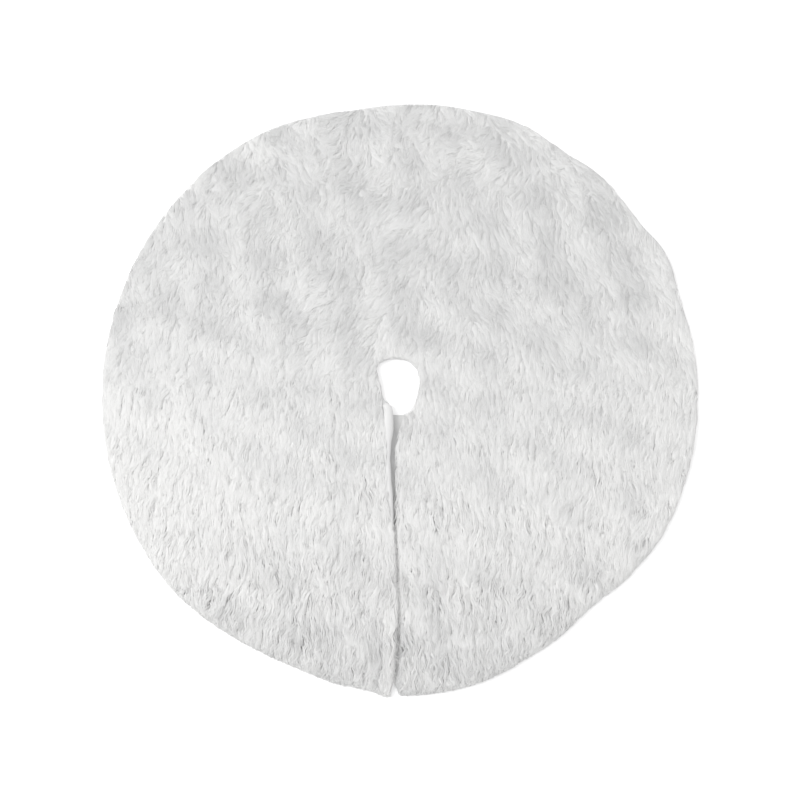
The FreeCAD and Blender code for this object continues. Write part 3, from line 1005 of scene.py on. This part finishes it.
def make_placket():
    rows, columns = 140, 14
    v = np.linspace(0, 1, rows)[:, None]
    u = np.linspace(0, 1, columns)[None, :]
    x = PLACKET_LOW.x + u * (PLACKET_HIGH.x - PLACKET_LOW.x) + 0 * v
    top = -np.sqrt(PLACKET_NECK**2 - np.minimum(np.abs(x), 0.045) ** 2)
    y = top + v * (PLACKET_LOW.y - top)
    wrinkle = ripple(41, 0.03)

    def low(px, py):
        return 0.0003 + 0.0003 * np.clip(wrinkle(px, py), -1, 1)

    def high(px, py):
        return low(px, py) + PLACKET_THICK

    placket = thin_sheet("placket", (x, y), low, high, placket_cloth)
    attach(placket, "skirt")
    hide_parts("placket_strip")


make_placket()

# ---- seams ----

STITCH_LENGTH = 0.0030
STITCH_PITCH = 0.0041
THREAD_RADIUS = 0.00028
HEM_SEAM_INSET = 0.012
NECK_SEAM_INSET = 0.008
SEAM_SINK = 0.0004  # how far the ends of a stitch go up into the lining it lies under
PLACKET_SEAM_X = 0.008
SLIT_SEAM_END = -0.58  # y of the last stitch beside the slit


def stitches(name, line, sink, body, node):
    """A row of running stitches along a line of points; sink moves the ends of each up into the cloth."""
    line = np.asarray(line)
    steps = np.linalg.norm(np.diff(line, axis=0), axis=1)
    along = np.concatenate([[0], np.cumsum(steps)])
    count = int(along[-1] / STITCH_PITCH)
    starts = (along[-1] - count * STITCH_PITCH) / 2 + np.arange(count) * STITCH_PITCH
    share = np.array([0.0, 0.2, 0.5, 0.8, 1.0])
    at = starts[:, None] + STITCH_LENGTH * share[None]
    paths = np.stack([np.interp(at, along, line[:, k]) for k in range(3)], -1)
    paths[:, :, 2] += sink * np.array([1.0, 0.25, 0.0, 0.25, 1.0])
    heading = paths[:, -1] - paths[:, 0]
    flanks = np.cross(np.array([0, 0, 1.0]), heading)
    flanks /= np.linalg.norm(flanks, axis=1, keepdims=True)
    radii = THREAD_RADIUS * np.array([0.5, 0.9, 1.0, 0.9, 0.5])
    row = many_tubes(name, paths, flanks, radii, 5, thread)
    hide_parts(node)
    if body == "both":
        bend(row)
    else:
        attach(row, body)


def under_lining(x, y):
    return np.stack([x, y, cloth_low(x, y)], -1)


def ring_line(from_degrees, to_degrees, radius):
    """Points on the lining's underside round the hole or along the hem."""
    angle = np.linspace(math.radians(from_degrees), math.radians(to_degrees), 700)
    r = radius(angle)
    return under_lining(r * np.cos(angle), r * np.sin(angle))


def slit_line(near, edge, offset):
    """Points on the lining's underside beside an edge of the slit."""
    y = np.linspace(near, SLIT_SEAM_END, 300)
    return under_lining(edge_x(edge, y) + offset, y)


def placket_line():
    y = np.linspace(-0.066, PLACKET_LOW.y + 0.008, 200)
    return np.stack([np.full_like(y, PLACKET_SEAM_X), y, np.full_like(y, 0.00032)], -1)


def hem_seam(angle):
    return hem_radius(angle) - HEM_SEAM_INSET


def neck_seam(angle):
    return hole_radius(angle) + NECK_SEAM_INSET


LINING_SEAMS = [
    ("hem_seam", ring_line(-88, 177, hem_seam), "skirt", "hem_seam_thread"),
    ("neck_seam", ring_line(-78, 150, neck_seam), "skirt", "neck_seam_thread"),
    ("slit_seam", slit_line(-0.07, RIGHT_EDGE, 0.016), "skirt", "slit_seam_thread"),
    ("hem_seam_flap", ring_line(178, 267, hem_seam), "both", "flap_hem_seam_thread"),
    ("neck_seam_flap", ring_line(170, 236, neck_seam), "both", "flap_neck_seam_thread"),
    ("edge_seam_flap", slit_line(-0.06, LEFT_EDGE, -0.012), "both", "flap_edge_seam_thread"),
]
for seam_name, seam_line, seam_body, seam_node in LINING_SEAMS:
    stitches(seam_name, seam_line, SEAM_SINK, seam_body, seam_node)
stitches("placket_seam", placket_line(), 0.0003, "skirt", "placket_seam_thread")

# ---- hook and loop tapes ----

TAPE_BODY = 0.0007
TAPE_CORNER = 0.002
TAPE_STITCH_INSET = 0.0018
TAPE_SINK = 0.0003  # how far the ends of a stitch go into the tape
CATCH_PITCH = 0.0014
CATCH_RADIUS = 0.00013
CATCH_MARGIN = 0.0027  # bare border of a tape
CATCH_OVERLAP = 0.00012  # how far loops and hooks pass the CAD's faces, which are 0.3 mm apart


def tape_outline(low, high, z, inset):
    """A closed loop of points round a tape's face."""
    corners = [
        (low.x + inset, low.y + inset),
        (high.x - inset, low.y + inset),
        (high.x - inset, high.y - inset),
        (low.x + inset, high.y - inset),
        (low.x + inset, low.y + inset),
    ]
    points = []
    for (ax, ay), (bx, by) in zip(corners, corners[1:]):
        for share in np.linspace(0, 1, 12, endpoint=False):
            points.append((ax + (bx - ax) * share, ay + (by - ay) * share, z))
    points.append((*corners[-1], z))
    return points


def tape_slab(name, low, high, z_low, z_high, material):
    """A thin slab with rounded corners and softened edges."""
    bevel = 0.0002
    ring = []
    for cx, cy, start in (
        (high.x - TAPE_CORNER, high.y - TAPE_CORNER, 0),
        (low.x + TAPE_CORNER, high.y - TAPE_CORNER, 90),
        (low.x + TAPE_CORNER, low.y + TAPE_CORNER, 180),
        (high.x - TAPE_CORNER, low.y + TAPE_CORNER, 270),
    ):
        for step in range(5):
            turn = math.radians(start + step * 22.5)
            ring.append((cx + TAPE_CORNER * math.cos(turn), cy + TAPE_CORNER * math.sin(turn)))
    ring = np.array(ring)
    middle = ring.mean(axis=0)
    layers = []
    for z, shrink in ((z_low, bevel), (z_low + bevel, 0), (z_high - bevel, 0), (z_high, bevel)):
        pulled = ring - np.sign(ring - middle) * shrink
        layers.append(np.column_stack([pulled, np.full(len(ring), z)]))
    return new_piece(name, np.concatenate(layers), tube_faces(4, len(ring)), [material])


def catches(name, low, high, root_z, tip_z, hooked, seed, material):
    """The face of a tape: a field of small loops, or of small hooks in rows."""
    rng = np.random.default_rng(seed)
    xs = np.arange(low.x + CATCH_MARGIN, high.x - CATCH_MARGIN, CATCH_PITCH)
    ys = np.arange(low.y + CATCH_MARGIN, high.y - CATCH_MARGIN, CATCH_PITCH)
    x, y = (a.ravel() for a in np.meshgrid(xs, ys))
    shake = 0.05 if hooked else 0.4
    x = x + rng.uniform(-shake, shake, len(x)) * CATCH_PITCH
    y = y + rng.uniform(-shake, shake, len(y)) * CATCH_PITCH
    turn = np.full(len(x), math.pi / 2) if hooked else rng.uniform(0, 2 * math.pi, len(x))
    if hooked:
        reach = np.array([0.0, 0.0, 0.0001, 0.0004, 0.00055])
        rise = np.array([0.0, 0.5, 0.85, 1.0, 0.75])
    else:
        reach = np.array([-0.0005, -0.00045, 0.0, 0.00045, 0.0005])
        rise = np.array([0.0, 0.7, 1.0, 0.7, 0.0])
    px = x[:, None] + np.cos(turn)[:, None] * reach
    py = y[:, None] + np.sin(turn)[:, None] * reach
    pz = np.repeat((root_z + (tip_z - root_z) * rise)[None], len(x), 0)
    flanks = np.stack([-np.sin(turn), np.cos(turn), 0 * turn], -1)
    return many_tubes(name, np.stack([px, py, pz], -1), flanks, np.full(5, CATCH_RADIUS), 4, material)


def make_tape(kind, place, seed):
    """One tape: a slab, a field of loops or hooks on the face towards its partner, and its stitches."""
    node = f"{kind}_tape_{place}"
    low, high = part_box(node)
    hooked = kind == "hook"
    if hooked:
        back, face, tip = high.z, high.z - TAPE_BODY, low.z - CATCH_OVERLAP
    else:
        back, face, tip = low.z, low.z + TAPE_BODY, high.z + CATCH_OVERLAP
    body = "overlap_flap" if hooked else "skirt"
    material = hook_nylon if hooked else edging_cloth
    slab = tape_slab(f"{kind}_slab_{place}", low, high, min(back, face), max(back, face), material)
    field = catches(f"{kind}_field_{place}", low, high, face, tip, hooked, seed, material)
    for piece in (slab, field):
        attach(piece, body)
        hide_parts(node)
    line = tape_outline(low, high, face, TAPE_STITCH_INSET)
    sink = TAPE_SINK if hooked else -TAPE_SINK
    stitches(f"{kind}_stitches_{place}", line, sink, body, f"{kind}_tape_stitches")


for tape_place, tape_seed in (("upper", 51), ("middle", 52), ("lower", 53)):
    for tape_kind in ("loop", "hook"):
        make_tape(tape_kind, tape_place, tape_seed)

# ---- floor, light and camera ----

WORLD_STRENGTH = 0.82
KEY_PLACE = (-5.6, 1.6, 5.2)
KEY_SIZE = 3.2
KEY_POWER = 280
CAMERA_AIM = Vector((0.004, -0.0266, 0))
CAMERA_DISTANCE = 1.45
CAMERA_ELEVATION = math.radians(83.8)
CAMERA_LENS = 31.93

bpy.ops.mesh.primitive_plane_add(size=30, location=(0, 0, 0))
floor = bpy.context.object
floor.name = "floor"
floor.data.materials.append(floor_material)

world = bpy.data.worlds.new("studio")
bpy.context.scene.world = world
world.use_nodes = True
world.node_tree.nodes["Background"].inputs["Color"].default_value = (1, 1, 1, 1)
world.node_tree.nodes["Background"].inputs["Strength"].default_value = WORLD_STRENGTH

key_light = bpy.data.lights.new("key", "AREA")
key_light.shape = "SQUARE"
key_light.size = KEY_SIZE
key_light.energy = KEY_POWER
key = bpy.data.objects.new("key", key_light)
bpy.context.scene.collection.objects.link(key)
key.location = KEY_PLACE
key.rotation_euler = (-Vector(KEY_PLACE)).to_track_quat("-Z", "Y").to_euler()

bpy.context.scene.view_settings.view_transform = "Standard"

camera_data = bpy.data.cameras.new("camera")
camera_data.sensor_width = 36
camera_data.lens = CAMERA_LENS
camera = bpy.data.objects.new("camera", camera_data)
bpy.context.scene.collection.objects.link(camera)
back = Vector((0, -math.cos(CAMERA_ELEVATION), math.sin(CAMERA_ELEVATION)))
camera.location = CAMERA_AIM + back * CAMERA_DISTANCE
camera.rotation_euler = (-back).to_track_quat("-Z", "Y").to_euler()
bpy.context.scene.camera = camera
